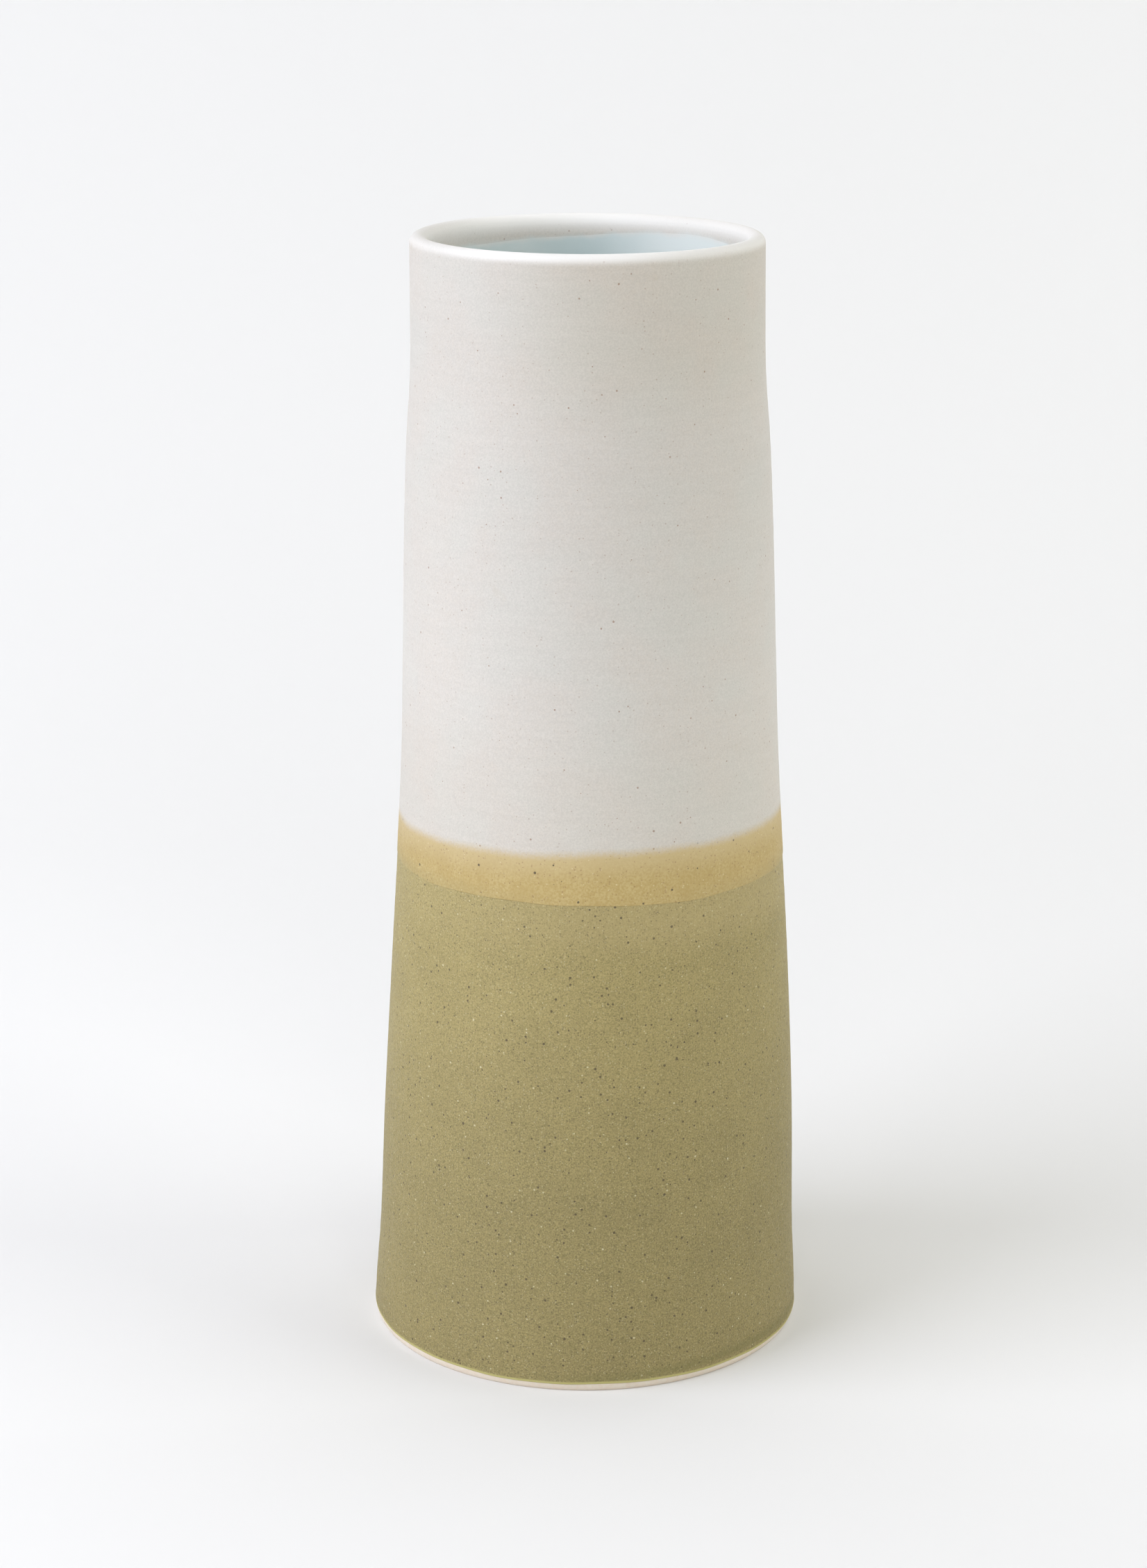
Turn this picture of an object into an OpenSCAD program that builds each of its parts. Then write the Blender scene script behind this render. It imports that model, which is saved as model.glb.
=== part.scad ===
// A tall wheel-thrown stoneware vase: one thrown clay body and the coats of glaze that lie on it.
// The origin is the centre of the foot, on the table, and +Z runs up the axis to the mouth.

/* [Outside shape] */
// Overall height, from the table to the top of the lip
height = 280; // [240:5:320]
// Outside diameter of the straight neck and the mouth
mouth_d = 86; // [84:0.5:87]
// Outside diameter where the shoulder starts, at three quarters of the height
shoulder_d = 91.3; // [90:0.1:93]
// Outside diameter just above the middle
waist_d = 95.2; // [94:0.1:96]
// Outside diameter at a third of the height
belly_d = 101.8; // [99:0.5:103]
// Outside diameter at a fifth of the height
hip_d = 105.9; // [104:0.2:107]
// Widest diameter, where the wall kicks out above the foot
base_d = 110.6; // [109:0.1:114]
// Diameter of the ring that the vase stands on
foot_d = 108.4; // [104:0.2:109]

/* [Wall] */
// Thickness of the glazed lip, which is fully rounded
lip_w = 4.4; // [3.6:0.1:5]
// Thickness of the glazed wall just above the floor
wall_base_w = 5.6; // [5:0.1:6.6]
// Thickness of the floor, from the recess under it to the glaze on it
floor_w = 6; // [5:0.5:8]
// Radius of the curve between the inside wall and the floor
floor_round_r = 16; // [10:1:22]

/* [Foot] */
// Height of the bare clay edge below the glaze
bare_h = 1.9; // [1:0.1:3]
// Width of the flat ring that the vase stands on
foot_ring_w = 7; // [5:0.5:10]
// Depth of the trimmed recess under the floor
recess_h = 2; // [1:0.5:3]

/* [Glaze] */
// Thickness of the white glaze, and of the green glaze with the overlap on it
coat_w = 0.35; // [0.3:0.05:0.5]
// Thickness of the overlap that lies on the green glaze
overlap_w = 0.15; // [0.1:0.05:0.2]
// Height of the crisp lower edge of the overlap
overlap_low = 124.8; // [100:0.2:128]
// Height where the overlap ends and the plain white glaze starts
overlap_high = 137; // [132:0.2:150]
// How far the white glaze runs down inside the mouth
white_inside_h = 6; // [4:0.2:12]

/* [Hidden] */
$fn = 96;

lip_r = lip_w / 2;
lip_z = height - lip_r;
lip_centre_r = mouth_d / 2 - lip_r;
white_end_z = height - white_inside_h;
floor_z = recess_h + floor_w;
ring_in_r = foot_d / 2 - foot_ring_w;

wall_step_h = 6;
lip_steps = 12;
round_steps = 10;
edge_steps = 4;
thinning = 1.3;

// Stations up the outside: share of the height, diameter.
STATIONS = [
    [0.004, base_d],
    [0.035, base_d - 0.7],
    [0.085, base_d - 2.6],
    [0.20, hip_d],
    [0.34, belly_d],
    [0.53, waist_d],
    [0.63, waist_d - 2],
    [0.74, shoulder_d],
    [0.82, shoulder_d - 2],
    [0.88, mouth_d + 0.8],
    [0.94, mouth_d + 0.2],
    [1.00, mouth_d]
];
LAST = len(STATIONS) - 1;

// Slope of the outline at a station, as radius over share of the height.
function slope(i) =
    let (low = STATIONS[max(i - 1, 0)])
    let (high = STATIONS[min(i + 1, LAST)])
    (high[1] - low[1]) / 2 / (high[0] - low[0]);

// Number of the stretch between two stations that holds a share of the height.
function stretch(u, i = 0) = (i == LAST - 1 || u < STATIONS[i + 1][0]) ? i : stretch(u, i + 1);

// Radius on the smooth cubic from station i to the next one, at t of the way.
function cubic_r(i, t) =
    let (span = STATIONS[i + 1][0] - STATIONS[i][0])
    STATIONS[i][1] / 2 * (1 + 2 * t) * pow(1 - t, 2)
    + STATIONS[i + 1][1] / 2 * (3 - 2 * t) * pow(t, 2)
    + slope(i) * span * t * pow(1 - t, 2)
    - slope(i + 1) * span * (1 - t) * pow(t, 2);

// Outside radius of the glazed wall at a height.
function glazed_r(z) =
    let (u = min(max(z / height, STATIONS[0][0]), 1))
    let (i = stretch(u))
    cubic_r(i, (u - STATIONS[i][0]) / (STATIONS[i + 1][0] - STATIONS[i][0]));

// Inside radius of the glazed wall at a height: the wall thins from the floor to the lip.
function inside_r(z) =
    glazed_r(z) - lip_w - (wall_base_w - lip_w) * pow((lip_z - z) / lip_z, thinning);

// Heights from one end of a stretch to the other, in equal steps of about wall_step_h.
function heights(from, to) =
    let (steps = max(1, round(abs(to - from) / wall_step_h)))
    [for (i = [0 : steps]) from + (to - from) * i / steps];

// Points on the outside, at a depth below the glazed surface.
function outside(from, to, depth) = [for (z = heights(from, to)) [glazed_r(z) - depth, z]];

// Points on the inside, at a depth below the glazed surface.
function inside(from, to, depth) = [for (z = heights(from, to)) [inside_r(z) + depth, z]];

// Points over the rounded lip, from the outside to the inside.
function over_lip(depth) =
    [for (i = [0 : lip_steps])
        let (a = 180 * i / lip_steps)
        [lip_centre_r + (lip_r - depth) * cos(a), lip_z + (lip_r - depth) * sin(a)]];

// Points round the curve from the inside wall down to the floor.
floor_curve_z = floor_z + floor_round_r;
floor_curve_r = inside_r(floor_curve_z) - floor_round_r;
function floor_curve(depth) =
    [for (i = [0 : round_steps])
        let (a = -90 * i / round_steps)
        let (r = floor_round_r + depth)
        [floor_curve_r + r * cos(a), floor_curve_z + r * sin(a)]];

// Points round the bare clay edge, from the foot ring up to the glaze.
bare_top_r = glazed_r(bare_h) - coat_w;
function bare_edge() =
    [for (i = [0 : edge_steps])
        let (a = 90 * i / edge_steps)
        [foot_d / 2 + (bare_top_r - foot_d / 2) * sin(a), bare_h * (1 - cos(a))]];

function backwards(points) = [for (i = [len(points) - 1 : -1 : 0]) points[i]];

// A run of points without its first one, which the run before it ends on.
function onward(points) = [for (i = [1 : len(points) - 1]) points[i]];

// The white glaze's path over the lip, at a depth below its surface.
function white_path(depth) =
    concat(
        outside(overlap_high, lip_z, depth),
        onward(over_lip(depth)),
        onward(inside(lip_z, white_end_z, depth))
    );

// The lining's path down the inside wall to the floor, at a depth below its surface.
function liner_path(depth) =
    concat(inside(white_end_z, floor_curve_z, depth), onward(floor_curve(depth)));

// The green glaze's path from the bare edge up to the plain white glaze, at a depth.
function green_path(depth) =
    concat(outside(bare_h, overlap_low, depth), onward(outside(overlap_low, overlap_high, depth)));

// A coat of glaze turned from the path on its surface and the path on the clay.
module coat(surface, clay) {
    rotate_extrude()
    polygon(concat(surface, backwards(clay)));
}

// The thrown body: foot, wall, lip and floor in one piece of clay, under all the glaze.
module clay_body() {
    color([0.80, 0.72, 0.64])
    rotate_extrude()
    polygon(concat(
        [[0, recess_h], [ring_in_r - recess_h, recess_h], [ring_in_r, 0]],
        bare_edge(),
        onward(green_path(coat_w)),
        onward(white_path(coat_w)),
        onward(liner_path(coat_w)),
        [[0, floor_z - coat_w]]
    ));
}

// The matte olive green glaze, which also runs on under the overlap.
module green_glaze() {
    color([0.57, 0.53, 0.38])
    coat(green_path(overlap_w), green_path(coat_w));
}

// The lower end of the white glaze, fired to ochre where it lies on the green one.
module overlap_band() {
    color([0.77, 0.69, 0.49])
    coat(outside(overlap_low, overlap_high, 0), outside(overlap_low, overlap_high, overlap_w));
}

// The matte white glaze: the upper wall, the lip, and a short way down inside the mouth.
module white_glaze() {
    color([0.88, 0.87, 0.84])
    coat(white_path(0), white_path(coat_w));
}

// The pale blue glaze that lines the inside wall and covers the floor.
module liner_glaze() {
    color([0.71, 0.76, 0.77])
    coat(concat(liner_path(0), [[0, floor_z]]), concat(liner_path(coat_w), [[0, floor_z - coat_w]]));
}

clay_body();
green_glaze();
overlap_band();
white_glaze();
liner_glaze();
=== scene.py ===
"""A tall wheel-thrown stoneware vase: the looks of its clay and of the coats of glaze on it."""
import math

import bpy
import numpy as np
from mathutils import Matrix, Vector


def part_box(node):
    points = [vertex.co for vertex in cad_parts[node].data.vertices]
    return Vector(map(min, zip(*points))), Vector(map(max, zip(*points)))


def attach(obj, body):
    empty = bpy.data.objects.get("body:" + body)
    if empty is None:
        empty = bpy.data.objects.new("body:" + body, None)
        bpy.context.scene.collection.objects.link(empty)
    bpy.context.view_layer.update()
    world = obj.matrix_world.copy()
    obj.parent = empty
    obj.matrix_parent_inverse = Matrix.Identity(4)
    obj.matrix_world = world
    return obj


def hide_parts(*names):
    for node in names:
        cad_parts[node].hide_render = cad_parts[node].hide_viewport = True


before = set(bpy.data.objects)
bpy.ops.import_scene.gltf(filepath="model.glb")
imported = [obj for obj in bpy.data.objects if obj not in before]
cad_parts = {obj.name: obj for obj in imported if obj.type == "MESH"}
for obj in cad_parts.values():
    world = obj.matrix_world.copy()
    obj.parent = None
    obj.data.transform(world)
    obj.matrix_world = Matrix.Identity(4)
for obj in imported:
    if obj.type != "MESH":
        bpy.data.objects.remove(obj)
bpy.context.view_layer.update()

MM = 0.001

# ---- driving sizes ---------------------------------------------------------------------------
# Angles run from the front of the vase (-Y), positive towards its right (+X).
COLUMNS = 360
ANGLES = np.arange(COLUMNS) * 2 * math.pi / COLUMNS

# Sizes read from the boxes of the CAD nodes.
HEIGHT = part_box("white_glaze")[1].z
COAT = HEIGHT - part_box("clay_body")[1].z
BAND_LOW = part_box("overlap_band")[0].z
BAND_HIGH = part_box("overlap_band")[1].z
GLAZE_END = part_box("green_glaze")[0].z
MOUTH_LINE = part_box("liner_glaze")[1].z
FLOOR_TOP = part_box("liner_glaze")[0].z + COAT

# The CAD's own values for what a box doesn't tell: the overlap's thickness on the green coat,
# the foot ring, the recess inside it and the curve at the edge of the floor.
OVERLAP = 0.15 * MM
UNDER_OVERLAP = COAT - OVERLAP
FOOT_R = 54.2 * MM
RING_W = 7 * MM
RING_IN_R = FOOT_R - RING_W
RECESS = 2 * MM
CURVE_R = 16 * MM
CURVE_Z = FLOOR_TOP + CURVE_R


# ---- the turned shape, read from the CAD clay ------------------------------------------------
# A face counts as wall when its normal is this nearly level, so that the lip is left out.
LEVEL = 0.99


def cad_wall(node, outward):
    """Heights and radii of the corners on a CAD node's upright outside or inside faces."""
    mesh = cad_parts[node].data
    found = {}
    for face in mesh.polygons:
        centre, normal = face.center, face.normal
        facing = (centre.x * normal.x + centre.y * normal.y) / math.hypot(centre.x, centre.y)
        if facing * outward < LEVEL:
            continue
        for index in face.vertices:
            corner = mesh.vertices[index].co
            found[round(corner.z, 6)] = math.hypot(corner.x, corner.y)
    heights = np.array(sorted(found))
    return heights, np.array([found[z] for z in heights])


def smooth_curve(heights, radii):
    """A function that runs smoothly through the corners."""
    slopes = np.gradient(radii, heights)

    def curve(z):
        z = np.clip(z, heights[0], heights[-1])
        i = np.clip(np.searchsorted(heights, z, side="right") - 1, 0, len(heights) - 2)
        span = heights[i + 1] - heights[i]
        t = (z - heights[i]) / span
        return (
            radii[i] * (1 + 2 * t) * (1 - t) ** 2
            + radii[i + 1] * (3 - 2 * t) * t**2
            + slopes[i] * span * t * (1 - t) ** 2
            - slopes[i + 1] * span * (1 - t) * t**2
        )

    return curve


out_heights, out_radii = cad_wall("clay_body", 1)
# Only the corners from the glaze's end upwards count, because the bare edge below it is rounded.
above_edge = out_heights > 0.9 * GLAZE_END
clay_outside = smooth_curve(out_heights[above_edge], out_radii[above_edge])
in_heights, in_radii = cad_wall("clay_body", -1)
above_floor = in_heights > FLOOR_TOP
clay_inside = smooth_curve(in_heights[above_floor], in_radii[above_floor])

LIP_R = (out_radii[-1] - in_radii[-1]) / 2
LIP_Z = HEIGHT - COAT - LIP_R
LIP_CENTRE_R = in_radii[-1] + LIP_R
CURVE_CENTRE_R = float(clay_inside(CURVE_Z)) - COAT - CURVE_R


# ---- what the potter's hands left on it ------------------------------------------------------
def lean(z):
    """How far the axis of the wall wanders sideways at a height: x and y."""
    u = np.clip(z / HEIGHT, 0, 1)
    x = 0.90 * np.sin(math.pi * u) + 0.20 * np.sin(2 * math.pi * u) - 0.33 * (1 - u) ** 3
    y = 0.35 * np.sin(math.pi * u) - 0.15 * np.sin(2 * math.pi * u)
    return x * MM, y * MM


def out_of_round(z, angle):
    """The slow swellings of the wall, which is not quite round."""
    u = z / HEIGHT
    return MM * (
        0.10 * np.cos(2 * (angle - 0.7)) * u
        + 0.07 * np.cos(3 * angle + 1.1) * u**2
        + 0.05 * np.sin(2 * angle + 5 * u)
    )


def throwing_rings(z, angle, size):
    """The spiral of low ridges that fingers leave as the pot is drawn up."""
    climb = z / MM + 3.1 * angle / (2 * math.pi)
    beat = 0.6 + 0.4 * np.sin(climb / 17 + 0.8)
    wide = np.sin(2 * math.pi * z / (6.3 * MM) + angle)
    narrow = np.sin(2 * math.pi * z / (2.9 * MM) + 2 * angle + 1.3)
    return size * beat * (wide + 0.5 * narrow)


def ease(t):
    """A smooth run from 0 to 1 as t goes from 0 to 1."""
    t = np.clip(t, 0, 1)
    return 3 * t**2 - 2 * t**3


def away_from_lip(z):
    """From 0 at the lip, which fingers and a sponge smooth, to 1 some way below it."""
    return ease((LIP_Z - z) / (14 * MM))


def outside_r(z, angle):
    """The radius of the clay's outside face."""
    rings = throwing_rings(z, angle, 0.016 * MM) * away_from_lip(z)
    return clay_outside(z) + out_of_round(z, angle) + rings


def inside_r(z, angle):
    """The radius of the clay's inside face."""
    rings = throwing_rings(z, angle, 0.07 * MM) * away_from_lip(z)
    return clay_inside(z) + out_of_round(z, angle) + rings


def wave(angle, parts):
    """A closed wavy line round the vase: the sum of size * sin(turns * angle + phase)."""
    return MM * sum(size * np.sin(turns * angle + phase) for turns, size, phase in parts)


# The edges of the coats: turns round the vase, size in millimetres and phase of each wave.
WHITE_EDGE = BAND_HIGH + wave(ANGLES, [
    (1, 1.20, 0.25), (2, 0.32, 2.2), (3, 0.18, 0.4), (7, 0.06, 1.0), (13, 0.03, 2.0)])
GREEN_EDGE = BAND_LOW + wave(ANGLES, [
    (1, 0.45, -2.6), (2, 0.30, 1.1), (4, 0.22, 2.9), (9, 0.10, 0.3), (17, 0.06, 1.7)])
FOOT_EDGE = GLAZE_END + wave(ANGLES, [(1, 0.16, 3.4), (3, 0.13, 0.4), (8, 0.08, 1.0), (19, 0.05, 0.2)])
MOUTH_EDGE = MOUTH_LINE + wave(ANGLES, [
    (1, 0.80, -1.05), (2, 0.80, 2.62), (3, 0.35, 0.89), (5, 0.14, 2.2), (11, 0.06, 1.0)])


# ---- mesh building ---------------------------------------------------------------------------
def place(radius, z, angle):
    """Points from radius, height and angle, moved with the wall's lean."""
    x, y = lean(z)
    return np.stack([x + radius * np.sin(angle), y - radius * np.cos(angle), z + 0 * angle], -1)


def on_wall(z, depth, side=1):
    """A row of points on the outside (side 1) or inside (-1), depth above the clay."""
    z = np.broadcast_to(z, ANGLES.shape)
    wall = outside_r(z, ANGLES) if side > 0 else inside_r(z, ANGLES)
    return place(wall + side * depth, z, ANGLES)


def steps(low, high, size):
    """Shares from 0 to 1 in steps of about size over the mean distance between two edges."""
    count = max(1, round(float(np.mean(np.abs(np.asarray(high) - low))) / size))
    return np.linspace(0, 1, count + 1)


def edge_shares(high, low, width):
    """Shares close to an edge, where a coat's rounded end needs more rows."""
    span = float(np.mean(np.abs(np.asarray(high) - low)))
    return width / span * (1 - np.cos(np.linspace(0, math.pi / 2, 7)))


def rounded_end(distance, width):
    """A coat's share of its thickness at a distance from its rounded end."""
    return np.sqrt(np.clip(1 - (1 - distance / width) ** 2, 0, 1))


def turned(name, rows, closed=True, sharp_rows=()):
    """A mesh from rows of points round the vase; its section closes on itself or on the axis."""
    points = np.concatenate(rows)
    count = len(rows)
    faces = []
    column = np.arange(COLUMNS)
    following = (column + 1) % COLUMNS
    for i in range(count if closed else count - 1):
        a, b = i * COLUMNS, (i + 1) % count * COLUMNS
        faces.append(np.stack([a + column, b + column, b + following, a + following], -1))
    faces = np.concatenate(faces).tolist()
    vertices = points.tolist()
    if not closed:
        for first, order in ((0, (0, 1)), ((count - 1) * COLUMNS, (1, 0))):
            ring = points[first:first + COLUMNS]
            centre = len(vertices)
            vertices.append(ring.mean(0).tolist())
            ends = (first + column, first + following)
            faces += np.stack([np.full(COLUMNS, centre), ends[order[0]], ends[order[1]]], -1).tolist()
    mesh = bpy.data.meshes.new(name)
    mesh.from_pydata(vertices, [], faces)
    mesh.validate()
    mesh.update()
    mesh.polygons.foreach_set("use_smooth", np.ones(len(mesh.polygons), bool))
    sharp_starts = {row % count * COLUMNS for row in sharp_rows}
    if sharp_starts:
        sharp = mesh.attributes.new("sharp_edge", "BOOLEAN", "EDGE")
        ends = np.zeros(len(mesh.edges) * 2, int)
        mesh.edges.foreach_get("vertices", ends)
        ends = ends.reshape(-1, 2)
        same = (ends[:, 0] // COLUMNS == ends[:, 1] // COLUMNS) & (ends[:, 0] < count * COLUMNS)
        starts = ends[:, 0] // COLUMNS * COLUMNS
        sharp.data.foreach_set("value", same & np.isin(starts, sorted(sharp_starts)))
    piece = bpy.data.objects.new(name, mesh)
    bpy.context.scene.collection.objects.link(piece)
    return piece


# ---- numbers stored at the points, which the materials read ----------------------------------
# Millimetres above a line, stored where the line isn't on that side of the wall.
FAR_ABOVE = 20.0
# How fast the distance below the lip grows inside the mouth, and where it stops, in millimetres; they
# let the lip's painted highlight run on down the inside.
INSIDE_GROWTH = 0.46
INSIDE_END = 2.3
# The angle from the front at which the lower edge of the overlap is crispest, and its softness there.
CRISP_ANGLE = 0.1
CRISP_SOFTNESS = 0.03


def corners(piece):
    """The places of a piece's points, and their angles from the front of the vase."""
    places = np.zeros(len(piece.data.vertices) * 3)
    piece.data.vertices.foreach_get("co", places)
    places = places.reshape(-1, 3)
    return places, np.arctan2(places[:, 0], -places[:, 1])


def store(piece, name, values):
    """Stores a number at each point of a piece, for its material."""
    attribute = piece.data.attributes.new(name, "FLOAT", "POINT")
    attribute.data.foreach_set("value", values.astype(np.float32))


def line_height(piece, name, edge, inside_only=False):
    """Stores how far each point is above a wavy line, in millimetres.
    Points outside the mouth count as far above a line that is only inside it."""
    places, angle = corners(piece)
    angle = angle % (2 * math.pi)
    line = np.interp(angle, np.append(ANGLES, 2 * math.pi), np.append(edge, edge[0]))
    above = (places[:, 2] - line) / MM
    if inside_only:
        above[np.hypot(places[:, 0], places[:, 1]) > LIP_CENTRE_R] = FAR_ABOVE
    store(piece, name, above)


def edge_softness(piece):
    """Stores how far the overlap thins out to green at its lower edge: least at the front."""
    away = np.abs(np.sin((corners(piece)[1] - CRISP_ANGLE) / 2)) ** 1.3
    store(piece, "edge_softness", CRISP_SOFTNESS + (1 - CRISP_SOFTNESS) * away)


def below_lip(piece):
    """Stores how far each point is below the lip, in millimetres, for the lip's painted highlight.
    Inside the mouth the number grows slowly and stops, so that some of the painted highlight runs on
    down the inside."""
    places = corners(piece)[0]
    below = (HEIGHT - places[:, 2]) / MM
    inside = np.hypot(places[:, 0], places[:, 1]) < LIP_CENTRE_R
    below[inside] = np.minimum(below[inside] * INSIDE_GROWTH, INSIDE_END)
    store(piece, "below_lip", below)


def finish_piece(piece, node, material):
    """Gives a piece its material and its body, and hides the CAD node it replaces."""
    piece.data.materials.append(material)
    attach(piece, "root")
    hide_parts(node)


# ---- the pieces ------------------------------------------------------------------------------
# Distances between rows of points: under the lip, on the overlap, on the coats' outside, down the
# lining, on plainer faces and on hidden ones.
LIP_STEP = 0.5 * MM
BAND_STEP = 0.8 * MM
WALL_STEP = 1.0 * MM
LINER_STEP = 2.0 * MM
PLAIN_STEP = 3.0 * MM
UNDER_STEP = 6.0 * MM
# How far in from the edges of the foot ring its two extra rows of points are.
FOOT_MARGIN = 0.5 * MM


def lip_rows(depth, count):
    """Rows over the rounded lip, from the outside to the inside, ends left out."""
    rows = []
    for a in np.linspace(0, math.pi, count + 1)[1:-1]:
        radius = LIP_CENTRE_R + out_of_round(LIP_Z, ANGLES) + (LIP_R + depth) * math.cos(a)
        z = np.full(COLUMNS, LIP_Z + (LIP_R + depth) * math.sin(a))
        rows.append(place(radius, z, ANGLES))
    return rows


def wall_rows(low, high, depth, step, side=1):
    """Rows from one edge to the other at one depth, both ends included."""
    return [on_wall(low + (high - low) * t, depth, side) for t in steps(low, high, step)]


def floor_rows(depth):
    """Rows round the curve from the inside wall to the floor and on towards the axis."""
    rows = []
    for a in np.linspace(0, math.pi / 2, 15)[1:]:
        r = CURVE_R + COAT - depth
        radius = CURVE_CENTRE_R + r * math.cos(a) + out_of_round(CURVE_Z, ANGLES) * math.cos(a)
        z = np.full(COLUMNS, CURVE_Z - r * math.sin(a))
        rows.append(place(radius, z, ANGLES))
    low = FLOOR_TOP - COAT + depth
    for share in np.linspace(1, 0.04, 18)[1:]:
        spiral = 0.12 * MM * np.sin(2 * math.pi * share * 5 + ANGLES) * math.sin(math.pi * share)
        rows.append(place(CURVE_CENTRE_R * share + 0 * ANGLES, low + spiral, ANGLES))
    return rows


def make_clay():
    """The thrown body, whose bare edge and underside show below the glaze."""
    top_r = outside_r(GLAZE_END, ANGLES)
    rows = []
    for share in np.linspace(0.05, 1, 12):
        radius = (RING_IN_R - RECESS) * share + 0 * ANGLES
        rows.append(place(radius, np.full(COLUMNS, RECESS), ANGLES))
    for t in np.linspace(0, 1, 7)[1:-1]:
        radius = RING_IN_R - RECESS * (1 - t) + 0 * ANGLES
        rows.append(place(radius, np.full(COLUMNS, RECESS * (1 - ease(t))), ANGLES))
    for r in (RING_IN_R, RING_IN_R + FOOT_MARGIN, FOOT_R - FOOT_MARGIN):
        rows.append(place(r + 0 * ANGLES, np.zeros(COLUMNS), ANGLES))
    for a in np.linspace(0, math.pi / 2, 9):
        radius = FOOT_R + (top_r - FOOT_R) * math.sin(a) ** 1.2
        rows.append(place(radius, np.full(COLUMNS, GLAZE_END * (1 - math.cos(a))), ANGLES))
    rows += wall_rows(GLAZE_END, LIP_Z, 0, PLAIN_STEP)[1:]
    rows += lip_rows(0, 12)
    rows += wall_rows(LIP_Z, CURVE_Z, 0, PLAIN_STEP, side=-1)
    rows += floor_rows(0)
    return turned("clay_body_piece", rows, closed=False)


def make_green():
    """The green coat, with a rolled bead where it ends above the bare edge."""
    low, high = FOOT_EDGE, WHITE_EDGE
    rounding = 0.45 * MM
    bead = 0.10 * MM
    bead_height = 1.1 * MM

    def thickness(z):
        return UNDER_OVERLAP + bead * np.exp(-((z - low) / bead_height) ** 2)

    rows = [on_wall(low, 0)]
    shares = edge_shares(high, low, rounding)
    for share in shares[1:]:
        z = low + (high - low) * share
        rows.append(on_wall(z, rounded_end(z - low, rounding) * thickness(z)))
    for t in steps(low, high, WALL_STEP)[1:]:
        z = low + (high - low) * (shares[-1] + (1 - shares[-1]) * t)
        rows.append(on_wall(z, thickness(z)))
    last = len(rows) - 1
    rows += wall_rows(high, low, 0, UNDER_STEP)[:-1]
    piece = turned("green_glaze_piece", rows, sharp_rows=(0, last, last + 1))
    line_height(piece, "above_green_edge", GREEN_EDGE)
    line_height(piece, "above_foot", FOOT_EDGE)
    return piece


def make_overlap():
    """The ochre band, whose lower edge is a thin rounded step on the green coat."""
    low, high = GREEN_EDGE, WHITE_EDGE
    rounding = 0.22 * MM
    rows = [on_wall(low, UNDER_OVERLAP)]
    shares = edge_shares(high, low, rounding)
    for share in shares[1:]:
        z = low + (high - low) * share
        rows.append(on_wall(z, UNDER_OVERLAP + OVERLAP * rounded_end(z - low, rounding)))
    for t in steps(low, high, BAND_STEP)[1:]:
        rows.append(on_wall(low + (high - low) * (shares[-1] + (1 - shares[-1]) * t), COAT))
    last = len(rows) - 1
    rows += wall_rows(high, low, UNDER_OVERLAP, PLAIN_STEP)[:-1]
    piece = turned("overlap_band_piece", rows, sharp_rows=(0, last, last + 1))
    line_height(piece, "above_white_edge", WHITE_EDGE)
    line_height(piece, "above_green_edge", GREEN_EDGE)
    edge_softness(piece)
    return piece


def make_white():
    """The white coat: upper wall, lip and the start of the inside wall."""
    rows = wall_rows(WHITE_EDGE, LIP_Z, COAT, WALL_STEP)
    rows += lip_rows(COAT, 24)
    rows += wall_rows(LIP_Z, MOUTH_EDGE, COAT, LIP_STEP, side=-1)
    last = len(rows) - 1
    rows += wall_rows(MOUTH_EDGE, LIP_Z, 0, UNDER_STEP, side=-1)
    rows += lip_rows(0, 12)[::-1]
    rows += wall_rows(LIP_Z, WHITE_EDGE, 0, UNDER_STEP)
    piece = turned("white_glaze_piece", rows, sharp_rows=(0, last, last + 1, len(rows) - 1))
    line_height(piece, "above_white_edge", WHITE_EDGE)
    line_height(piece, "above_mouth_edge", MOUTH_EDGE, inside_only=True)
    below_lip(piece)
    return piece


def make_liner():
    """The pale blue coat on the inside wall and the floor."""
    surface = wall_rows(MOUTH_EDGE, CURVE_Z, COAT, LINER_STEP, side=-1) + floor_rows(COAT)
    under = wall_rows(MOUTH_EDGE, CURVE_Z, 0, UNDER_STEP, side=-1) + floor_rows(0)
    rows = surface[::-1] + under
    edge = len(surface)
    piece = turned("liner_glaze_piece", rows, closed=False, sharp_rows=(edge - 1, edge))
    line_height(piece, "above_mouth_edge", MOUTH_EDGE)
    return piece


# ---- materials -------------------------------------------------------------------------------
def srgb(red, green, blue):
    """A colour from its 0 to 255 values on screen, as the shader's linear values."""
    values = [v / 255 for v in (red, green, blue)]
    return tuple(v / 12.92 if v <= 0.04045 else ((v + 0.055) / 1.055) ** 2.4 for v in values) + (1,)


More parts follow.
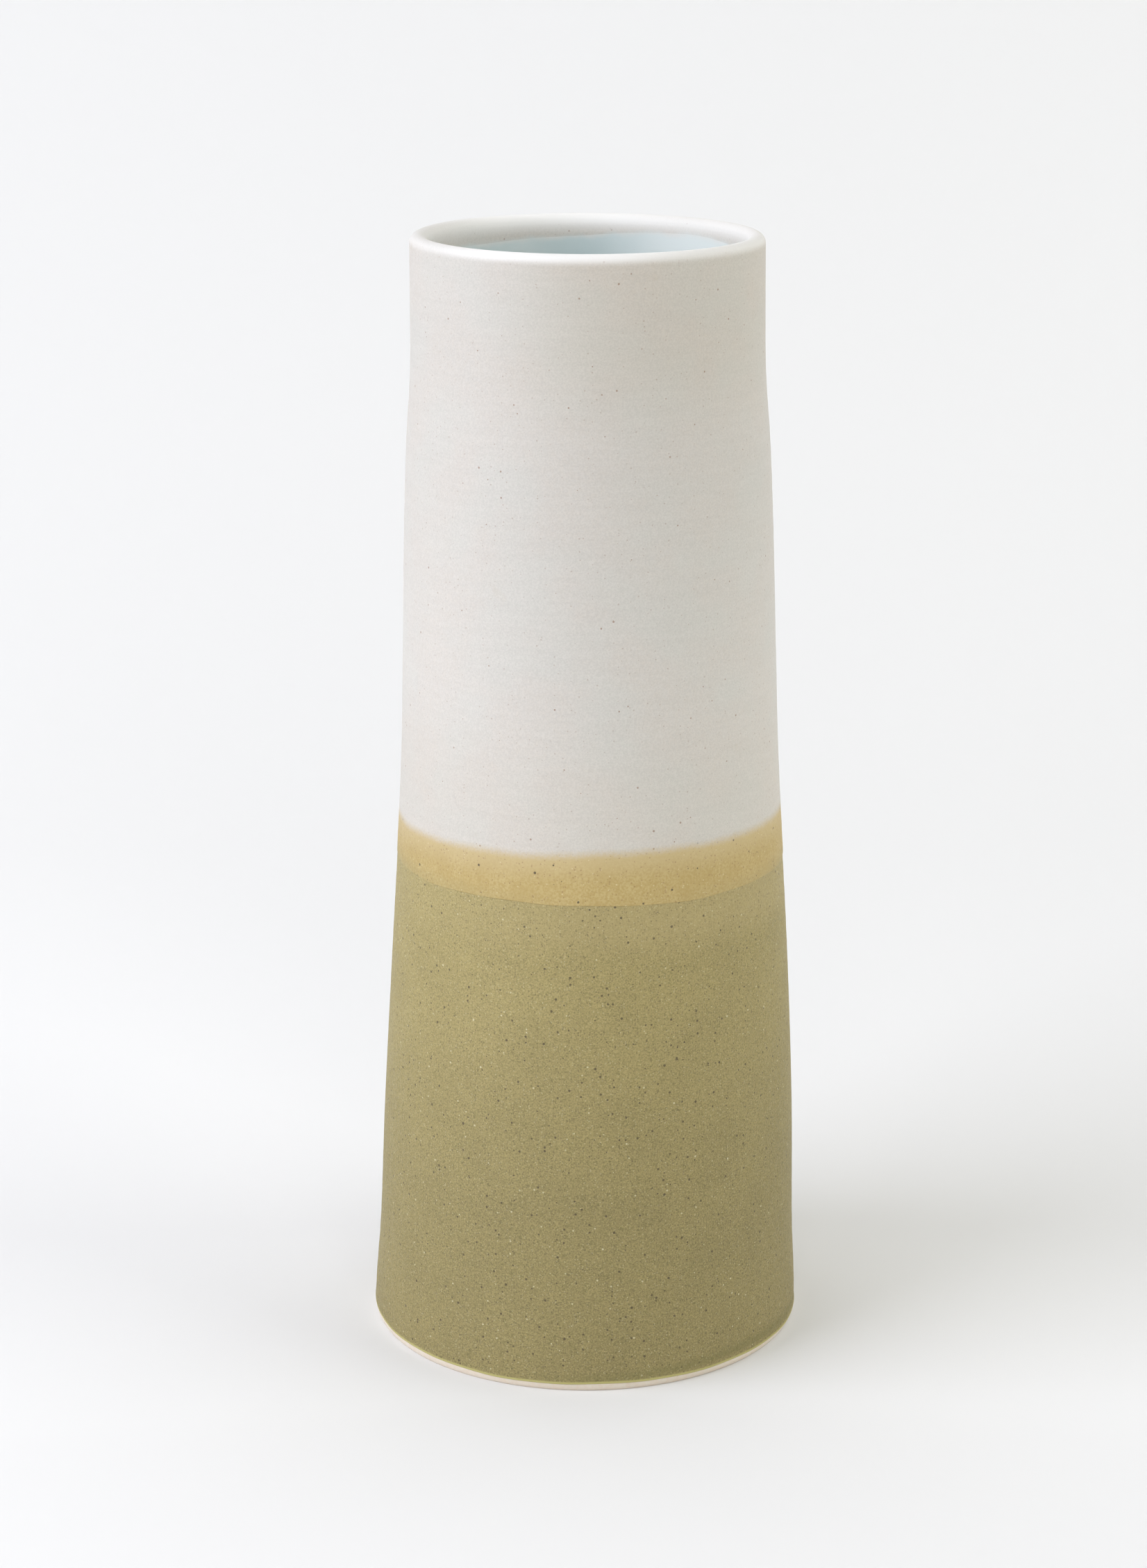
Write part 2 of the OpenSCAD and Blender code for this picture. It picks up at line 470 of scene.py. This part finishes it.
class Nodes:
    """A material's node tree with short calls for the nodes that glazes are made of."""

    def __init__(self, name):
        self.material = bpy.data.materials.new(name)
        self.material.use_nodes = True
        self.tree = self.material.node_tree
        self.shader = self.tree.nodes["Principled BSDF"]
        self.where = self.add("ShaderNodeTexCoord").outputs["Object"]
        axes = self.add("ShaderNodeSeparateXYZ")
        self.link(self.where, axes.inputs[0])
        self.right = axes.outputs["X"]
        self.height = axes.outputs["Z"]

    def add(self, kind, **settings):
        """A new node with its settings."""
        node = self.tree.nodes.new(kind)
        for key, value in settings.items():
            setattr(node, key, value)
        return node

    def link(self, source, socket):
        """Sets a socket from another node's output or from a plain value."""
        if hasattr(source, "is_output"):
            self.tree.links.new(source, socket)
        else:
            socket.default_value = source

    def noise(self, size, detail=2.0, roughness=0.5):
        """Noise from 0 to 1 whose features are about size across."""
        node = self.add("ShaderNodeTexNoise")
        node.inputs["Scale"].default_value = 1 / size
        node.inputs["Detail"].default_value = detail
        node.inputs["Roughness"].default_value = roughness
        self.link(self.where, node.inputs["Vector"])
        return node.outputs["Fac"]

    def streaks(self, size, length):
        """Noise from 0 to 1 drawn out round the vase, as a brush or a throwing rib leaves it."""
        squeeze = self.add("ShaderNodeVectorMath", operation="MULTIPLY")
        squeeze.inputs[1].default_value = (size / length, size / length, 1)
        self.link(self.where, squeeze.inputs[0])
        fac = self.noise(size)
        self.link(squeeze.outputs["Vector"], fac.node.inputs["Vector"])
        return fac

    def math(self, operation, a, b):
        """The result of an operation on two values."""
        node = self.add("ShaderNodeMath", operation=operation)
        self.link(a, node.inputs[0])
        self.link(b, node.inputs[1])
        return node.outputs[0]

    def times(self, a, b):
        """One value times another."""
        return self.math("MULTIPLY", a, b)

    def fade(self, value, start, end, low=0.0, high=1.0):
        """Runs smoothly from low to high as value goes from start to end."""
        node = self.add("ShaderNodeMapRange", interpolation_type="SMOOTHSTEP")
        self.link(value, node.inputs["Value"])
        limits = {"From Min": start, "From Max": end, "To Min": low, "To Max": high}
        for socket, number in limits.items():
            self.link(number, node.inputs[socket])
        return node.outputs["Result"]

    def mix(self, share, a, b, blend="MIX"):
        """From colour a to colour b by a share from 0 to 1."""
        # The node has sockets of the same names for each type of data, and these are the colours'.
        first, second, result = 6, 7, 2
        node = self.add("ShaderNodeMix", data_type="RGBA", blend_type=blend)
        self.link(share, node.inputs["Factor"])
        self.link(a, node.inputs[first])
        self.link(b, node.inputs[second])
        return node.outputs[result]

    def shade(self, share, colour, tone):
        """The colour times a grey tone, by a share from 0 to 1."""
        return self.mix(share, colour, (tone, tone, tone, 1), blend="MULTIPLY")

    def shade_warm(self, share, colour):
        """The colour times a warm painted shade tone, by a share from 0 to 1."""
        return self.mix(share, colour, WARM_SHADE_TONE, blend="MULTIPLY")

    def value_of(self, name):
        """A number that the mesh stores at each point."""
        return self.add("ShaderNodeAttribute", attribute_name=name).outputs["Fac"]

    def specks(self, spacing, size, chance):
        """From 0 to 1: spots of about size across, in a random share of the cells of a lattice."""
        cells = self.add("ShaderNodeTexVoronoi", feature="F1", voronoi_dimensions="3D")
        cells.inputs["Scale"].default_value = 1 / spacing
        self.link(self.where, cells.inputs["Vector"])
        split = self.add("ShaderNodeSeparateColor")
        self.link(cells.outputs["Color"], split.inputs["Color"])
        radius = self.math("MULTIPLY_ADD", split.outputs["Green"], size / spacing * 0.45)
        radius.node.inputs[2].default_value = size / spacing * 0.25
        spot = self.fade(cells.outputs["Distance"], radius, self.times(radius, 0.65))
        chosen = self.math("LESS_THAN", split.outputs["Red"], chance)
        return self.times(spot, chosen)

    def grains(self, base, colour, spacing, size, chance, share):
        """Specks of another colour in a base colour, laid on by a share from 0 to 1."""
        return self.mix(self.times(self.specks(spacing, size, chance), share), base, colour)

    def bump(self, height, distance, after=None):
        """The normal over a relief that is distance high, on top of an earlier one."""
        node = self.add("ShaderNodeBump")
        node.inputs["Distance"].default_value = distance
        self.link(height, node.inputs["Height"])
        if after is not None:
            self.link(after, node.inputs["Normal"])
        return node.outputs["Normal"]


# Colours of the fired clay and glazes and of the grains in them, and painted highlight, shadow and
# shade tones.
WHITE = srgb(204, 200, 193)
WHITE_WARM = srgb(203, 197, 188)
WHITE_COOL = srgb(201, 199, 191)
TAN = srgb(183, 168, 142)
OCHRE = srgb(185, 165, 112)
OCHRE_DEEP = srgb(172, 149, 92)
OCHRE_PALE = srgb(191, 172, 129)
OLIVE = srgb(156, 142, 93)
OLIVE_GREEN = srgb(132, 122, 75)
KHAKI = srgb(169, 154, 102)
TAN_GREEN = srgb(180, 163, 117)
FOOT_GREEN = srgb(113, 108, 62)
EDGE_YELLOW = srgb(178, 171, 108)
CLAY = srgb(216, 207, 192)
CLAY_PINK = srgb(215, 201, 184)
# A painted highlight: the white that brightens the lip.
LIP_HIGHLIGHT_WHITE = srgb(230, 229, 226)
BLUE = srgb(211, 217, 215)
# A painted shadow: the blue of the lining where the lip shades its left side.
BLUE_IN_SHADOW = srgb(185, 199, 199)
DARK_GRAIN = srgb(66, 54, 42)
BROWN_GRAIN = srgb(128, 92, 62)
LIGHT_GRAIN = srgb(220, 213, 177)
# A painted warm shade: a tone that multiplies the white where it is shaded.
WARM_SHADE_TONE = (0.975, 0.95, 0.905, 1)

# Heights between which a painted shade greys the white a little towards the top.
TOP_SHADE_FROM = 150 * MM
TOP_SHADE_TO = 270 * MM
# Heights between which the green glaze grows paler.
PALE_FROM = 25 * MM
PALE_TO = 118 * MM


def white_colour(m):
    """Matte white with faint warm and cool clouds, tan blooms and sparse brown specks.
    Painted warm shade darkens it near the overlap, where painted shade darkens its left side
    too, and under the lip except on the left; painted shade greys it a little towards the top."""
    clouds = m.mix(m.fade(m.noise(17 * MM, detail=3), 0.38, 0.66), WHITE_WARM, WHITE_COOL)
    base = m.mix(m.fade(m.noise(1.1 * MM), 0.3, 0.7, 0.2, 0.7), clouds, WHITE)
    base = m.shade(m.fade(m.streaks(1.3 * MM, length=16 * MM), 0.3, 0.7), base, 0.975)
    base = m.shade(m.fade(m.noise(0.42 * MM, roughness=0.7), 0.3, 0.7), base, 0.885)
    bloom = m.fade(m.noise(19 * MM, detail=4, roughness=0.6), 0.66, 0.78, 0, 0.35)
    base = m.mix(bloom, base, TAN)
    # Painted shade: the white a little darker towards the top.
    base = m.shade(m.fade(m.height, TOP_SHADE_FROM, TOP_SHADE_TO), base, 0.93)
    # Painted warm shade, growing lower down towards the overlap.
    low_warm_shade = m.fade(m.height, 175 * MM, 145 * MM, 0, 0.45)
    base = m.shade_warm(low_warm_shade, base)
    # Painted shade on the left side low down.
    low_left_shade = m.times(m.fade(m.height, 180 * MM, 145 * MM), m.fade(m.right, -5 * MM, -45 * MM))
    base = m.shade(low_left_shade, base, 0.96)
    # Painted warm shade under the lip, except on the left.
    not_left = m.fade(m.right, -30 * MM, 2 * MM, 0, 0.8)
    base = m.shade_warm(m.times(m.fade(m.height, 232 * MM, 258 * MM), not_left), base)
    base = m.grains(base, BROWN_GRAIN, spacing=1.0 * MM, size=0.36 * MM, chance=0.35, share=0.32)
    return m.grains(base, BROWN_GRAIN, spacing=3.0 * MM, size=0.48 * MM, chance=0.55, share=0.65)


def ochre_colour(m):
    """The white glaze where it has drawn the green one up into it, paler towards the white."""
    base = m.mix(m.fade(m.noise(0.55 * MM), 0.3, 0.7), OCHRE_DEEP, OCHRE)
    base = m.mix(m.fade(m.noise(7 * MM, detail=3), 0.35, 0.7, 0, 0.5), base, OCHRE_DEEP)
    base = m.mix(m.fade(m.value_of("above_white_edge"), -8, 0, 0, 0.75), base, OCHRE_PALE)
    # Painted shade: the ochre darker on the left.
    base = m.shade(m.fade(m.right, 0, -45 * MM), base, 0.93)
    base = m.grains(base, BROWN_GRAIN, spacing=0.75 * MM, size=0.38 * MM, chance=0.58, share=0.44)
    base = m.grains(base, DARK_GRAIN, spacing=2.2 * MM, size=0.60 * MM, chance=0.40, share=0.85)
    return m.grains(base, LIGHT_GRAIN, spacing=1.0 * MM, size=0.36 * MM, chance=0.45, share=0.33)


def green_colour(m):
    """Olive green with a fine grain and many dark and light specks, paler towards its top.
    A pale halo runs below the overlap, faintest on the left."""
    base = m.mix(m.fade(m.noise(0.40 * MM, detail=3, roughness=0.65), 0.32, 0.68), OLIVE_GREEN, KHAKI)
    base = m.mix(m.fade(m.noise(1.3 * MM), 0.35, 0.65, 0, 0.35), base, OLIVE)
    base = m.shade(m.fade(m.noise(14 * MM, detail=3), 0.35, 0.7), base, 0.94)
    halo = m.fade(m.value_of("above_green_edge"), -16, -5)
    halo = m.times(halo, m.fade(m.right, 20 * MM, -40 * MM, 0.33, 0.12))
    base = m.mix(halo, base, TAN_GREEN)
    base = m.shade(m.fade(m.height, PALE_TO, PALE_FROM), base, 0.90)
    low_grain = m.fade(m.noise(0.36 * MM, roughness=0.6), 0.36, 0.64)
    low_grain = m.times(low_grain, m.fade(m.height, 110 * MM, 40 * MM))
    base = m.shade(low_grain, base, 0.83)
    base = m.grains(base, LIGHT_GRAIN, spacing=0.62 * MM, size=0.38 * MM, chance=0.50, share=0.17)
    base = m.grains(base, DARK_GRAIN, spacing=0.55 * MM, size=0.40 * MM, chance=0.52, share=0.34)
    base = m.grains(base, DARK_GRAIN, spacing=1.55 * MM, size=0.58 * MM, chance=0.45, share=0.76)
    return m.grains(base, LIGHT_GRAIN, spacing=1.9 * MM, size=0.46 * MM, chance=0.45, share=0.50)


def glaze_bump(m, grain, depth, pits=0.0):
    """The relief of a matte glaze: its fine grain and, where it is pitted, slow swells and pits."""
    relief = m.bump(m.noise(grain, roughness=0.6), depth)
    if pits:
        relief = m.bump(m.noise(3.5 * MM), depth, after=relief)
        relief = m.bump(m.specks(spacing=1.7 * MM, size=0.42 * MM, chance=0.35), pits, after=relief)
    return relief


def white_to_ochre(m, white, ochre):
    """The soft edge where the white glaze starts to lie on the green one."""
    wobble = m.fade(m.noise(11 * MM), 0.25, 0.75, -0.2, 0.2)
    grain = m.fade(m.noise(0.6 * MM), 0.25, 0.75, -0.25, 0.25)
    height = m.math("ADD", m.value_of("above_white_edge"), m.math("ADD", wobble, grain))
    return m.mix(m.fade(height, -1.6, 1.5), ochre, white)


def white_to_blue(m, white, blue):
    """The soft edge inside the mouth where the white glaze meets the lining."""
    wobble = m.fade(m.noise(6 * MM), 0.25, 0.75, -0.5, 0.5)
    height = m.math("ADD", m.value_of("above_mouth_edge"), wobble)
    return m.mix(m.fade(height, -1.5, 1.1), blue, white)


def blue_colour(m):
    """Pale blue with a few brown specks, darker on the left under a painted shadow of the lip."""
    shadowed_blue = m.mix(m.fade(m.noise(20 * MM), 0.3, 0.7, 0.0, 0.35), BLUE_IN_SHADOW, BLUE)
    # Painted shadow: the lining takes the shadowed blue on the left.
    base = m.mix(m.fade(m.right, -2 * MM, 27 * MM, 0, 0.9), shadowed_blue, BLUE)
    return m.grains(base, BROWN_GRAIN, spacing=3.0 * MM, size=0.35 * MM, chance=0.4, share=0.5)


def finish_material(m, colour, relief, roughness, spread, specular):
    """Sets the shader: colour, relief, roughness with a little variation and reflectance."""
    m.link(colour, m.shader.inputs["Base Color"])
    varied = m.fade(m.noise(1.2 * MM), 0.3, 0.7, roughness - spread, roughness + spread)
    m.link(varied, m.shader.inputs["Roughness"])
    m.link(relief, m.shader.inputs["Normal"])
    m.shader.inputs["Specular IOR Level"].default_value = specular
    return m.material


def clay_material():
    """The bare fired clay: pale, rough and lightly specked."""
    m = Nodes("bare_clay")
    base = m.mix(m.fade(m.noise(1.3 * MM, detail=3), 0.3, 0.7), CLAY, CLAY_PINK)
    base = m.grains(base, BROWN_GRAIN, spacing=1.5 * MM, size=0.3 * MM, chance=0.3, share=0.4)
    relief = m.bump(m.noise(0.3 * MM, detail=3, roughness=0.6), 0.05 * MM)
    return finish_material(m, base, relief, roughness=0.85, spread=0.06, specular=0.3)


def green_material():
    """The green glaze: darker in a band above the bare edge, most of all on the right, and yellow at
    its thin end.
    """
    m = Nodes("matte_green_glaze")
    foot = m.value_of("above_foot")
    base = green_colour(m)
    # A darker band above the bare edge, lower and stronger towards the right.
    above_dark_band = m.math("SUBTRACT", foot, m.fade(m.right, 0, 40 * MM, 0, 1.2))
    dark_band = m.times(m.fade(above_dark_band, 3.8, 1.5), m.fade(above_dark_band, 0.0, 0.9))
    dark_band = m.times(dark_band, m.fade(m.right, -30 * MM, 25 * MM, 0.05, 0.42))
    base = m.mix(dark_band, base, FOOT_GREEN)
    base = m.mix(m.fade(foot, 0.95, 0.35, 0, 0.95), base, EDGE_YELLOW)
    relief = glaze_bump(m, grain=0.38 * MM, depth=0.06 * MM, pits=0.05 * MM)
    return finish_material(m, base, relief, roughness=0.62, spread=0.07, specular=0.45)


def overlap_material():
    """The overlap: ochre, thinning out to green at its lower edge and to white at its upper one."""
    m = Nodes("matte_ochre_overlap")
    wobble = m.fade(m.noise(1.5 * MM), 0.3, 0.7, -0.5, 0.5)
    edge = m.math("ADD", m.value_of("above_green_edge"), wobble)
    thin = m.times(m.fade(edge, 4.4, 0.0), m.value_of("edge_softness"))
    ochre = m.mix(thin, ochre_colour(m), green_colour(m))
    colour = white_to_ochre(m, white_colour(m), ochre)
    relief = glaze_bump(m, grain=0.40 * MM, depth=0.045 * MM, pits=0.03 * MM)
    return finish_material(m, colour, relief, roughness=0.60, spread=0.06, specular=0.45)


def white_material():
    """The white glaze: a painted highlight whitens the lip, weaker at its left and right, and it is
    blue at its end in the mouth.
    """
    m = Nodes("matte_white_glaze")
    # Painted highlight: the lip's share of the highlight white, fading below the lip and weaker on the
    # left and right.
    lip = m.fade(m.value_of("below_lip"), 2.9, 0.5)
    lip = m.times(lip, m.fade(m.right, -40 * MM, -20 * MM, 0.45, 0.92))
    lip = m.times(lip, m.fade(m.right, 4 * MM, 28 * MM, 1, 0.75))
    white = m.mix(lip, white_colour(m), LIP_HIGHLIGHT_WHITE)
    colour = white_to_blue(m, white_to_ochre(m, white, ochre_colour(m)), blue_colour(m))
    relief = glaze_bump(m, grain=0.8 * MM, depth=0.012 * MM)
    return finish_material(m, colour, relief, roughness=0.58, spread=0.05, specular=0.40)


def liner_material():
    """The pale blue lining, smoother than the outside glazes and white at its upper edge."""
    m = Nodes("satin_blue_liner")
    # The white at the lining's upper edge is half the lip's painted highlight white.
    white = m.mix(0.55, white_colour(m), LIP_HIGHLIGHT_WHITE)
    colour = white_to_blue(m, white, blue_colour(m))
    relief = glaze_bump(m, grain=1.2 * MM, depth=0.02 * MM)
    return finish_material(m, colour, relief, roughness=0.38, spread=0.06, specular=0.5)


# ---- stage, lights and camera ----------------------------------------------------------------
# The camera's place in heights of the vase, and how far it looks down, in degrees.
CAMERA_RIGHT = -0.0117
CAMERA_BACK = 2.9222
CAMERA_UP = 1.3536
LOOKS_DOWN = 16.19


def make_camera():
    """The view: a long lens a little above the mouth, looking down on the vase."""
    data = bpy.data.cameras.new("camera")
    data.lens = 77.4
    data.sensor_width = 36
    camera = bpy.data.objects.new("camera", data)
    bpy.context.scene.collection.objects.link(camera)
    camera.location = (CAMERA_RIGHT * HEIGHT, -CAMERA_BACK * HEIGHT, CAMERA_UP * HEIGHT)
    camera.rotation_euler = (math.radians(90 - LOOKS_DOWN), 0, 0)
    bpy.context.scene.camera = camera


def make_stage():
    """A pale floor that curves up into a backdrop."""
    half_width, front, back, bend, top = 3.0, -1.6, 1.3, 0.9, 3.4
    profile = [(front, 0.0), (0.0, 0.0), (back - bend, 0.0)]
    for a in np.linspace(0, math.pi / 2, 25)[1:]:
        profile.append((back - bend + bend * math.sin(a), bend * (1 - math.cos(a))))
    profile.append((back, top))
    vertices = [(x, y, z) for y, z in profile for x in (-half_width, half_width)]
    faces = [(2 * i, 2 * i + 1, 2 * i + 3, 2 * i + 2) for i in range(len(profile) - 1)]
    mesh = bpy.data.meshes.new("floor")
    mesh.from_pydata(vertices, [], faces)
    mesh.polygons.foreach_set("use_smooth", [True] * len(faces))
    floor = bpy.data.objects.new("floor", mesh)
    bpy.context.scene.collection.objects.link(floor)
    m = Nodes("pale_floor")
    m.shader.inputs["Base Color"].default_value = srgb(224, 224, 223)
    m.shader.inputs["Roughness"].default_value = 0.9
    m.shader.inputs["Specular IOR Level"].default_value = 0.2
    floor.data.materials.append(m.material)


def make_area(name, spot, aim, size, power, tint=(1, 1, 1)):
    """A square soft light at a spot, aimed at a point."""
    data = bpy.data.lights.new(name, "AREA")
    data.size = size
    data.energy = power
    data.color = tint
    light = bpy.data.objects.new(name, data)
    light.location = spot
    light.rotation_mode = "QUATERNION"
    light.rotation_quaternion = (Vector(aim) - Vector(spot)).to_track_quat("-Z", "Y")
    bpy.context.scene.collection.objects.link(light)


def make_lights():
    """A large soft light from the upper left, weaker fills, and an even pale surrounding."""
    world = bpy.data.worlds.new("studio")
    bpy.context.scene.world = world
    world.use_nodes = True
    background = world.node_tree.nodes["Background"]
    background.inputs["Color"].default_value = (1.0, 1.0, 0.965, 1)
    background.inputs["Strength"].default_value = 0.205
    middle = (0, 0, HEIGHT / 2)
    make_area("key", (-1.2, -0.5, 0.9), middle, size=1.2, power=21.3, tint=(0.985, 1.0, 1.11))
    make_area("left_back", (-1.1, 0.8, 0.9), middle, size=1.0, power=2.8)
    make_area("over_back", (0.0, 0.9, 1.5), (0, 0.2, 0), size=1.3, power=4.7)
    make_area("front_fill", (0.2, -2.0, 1.4), middle, size=1.3, power=11.6)
    make_area("front_left", (-0.9, -1.4, 0.8), middle, size=0.8, power=3.5)
    make_area("right_fill", (1.5, -0.4, 0.9), middle, size=1.2, power=14.5, tint=(1.0, 1.0, 0.955))
    make_area("right_back", (1.2, 0.8, 0.9), middle, size=1.0, power=4.4)
    bpy.context.scene.view_settings.view_transform = "Standard"


make_camera()
make_stage()
make_lights()
finish_piece(make_clay(), "clay_body", clay_material())
finish_piece(make_green(), "green_glaze", green_material())
finish_piece(make_overlap(), "overlap_band", overlap_material())
finish_piece(make_white(), "white_glaze", white_material())
finish_piece(make_liner(), "liner_glaze", liner_material())
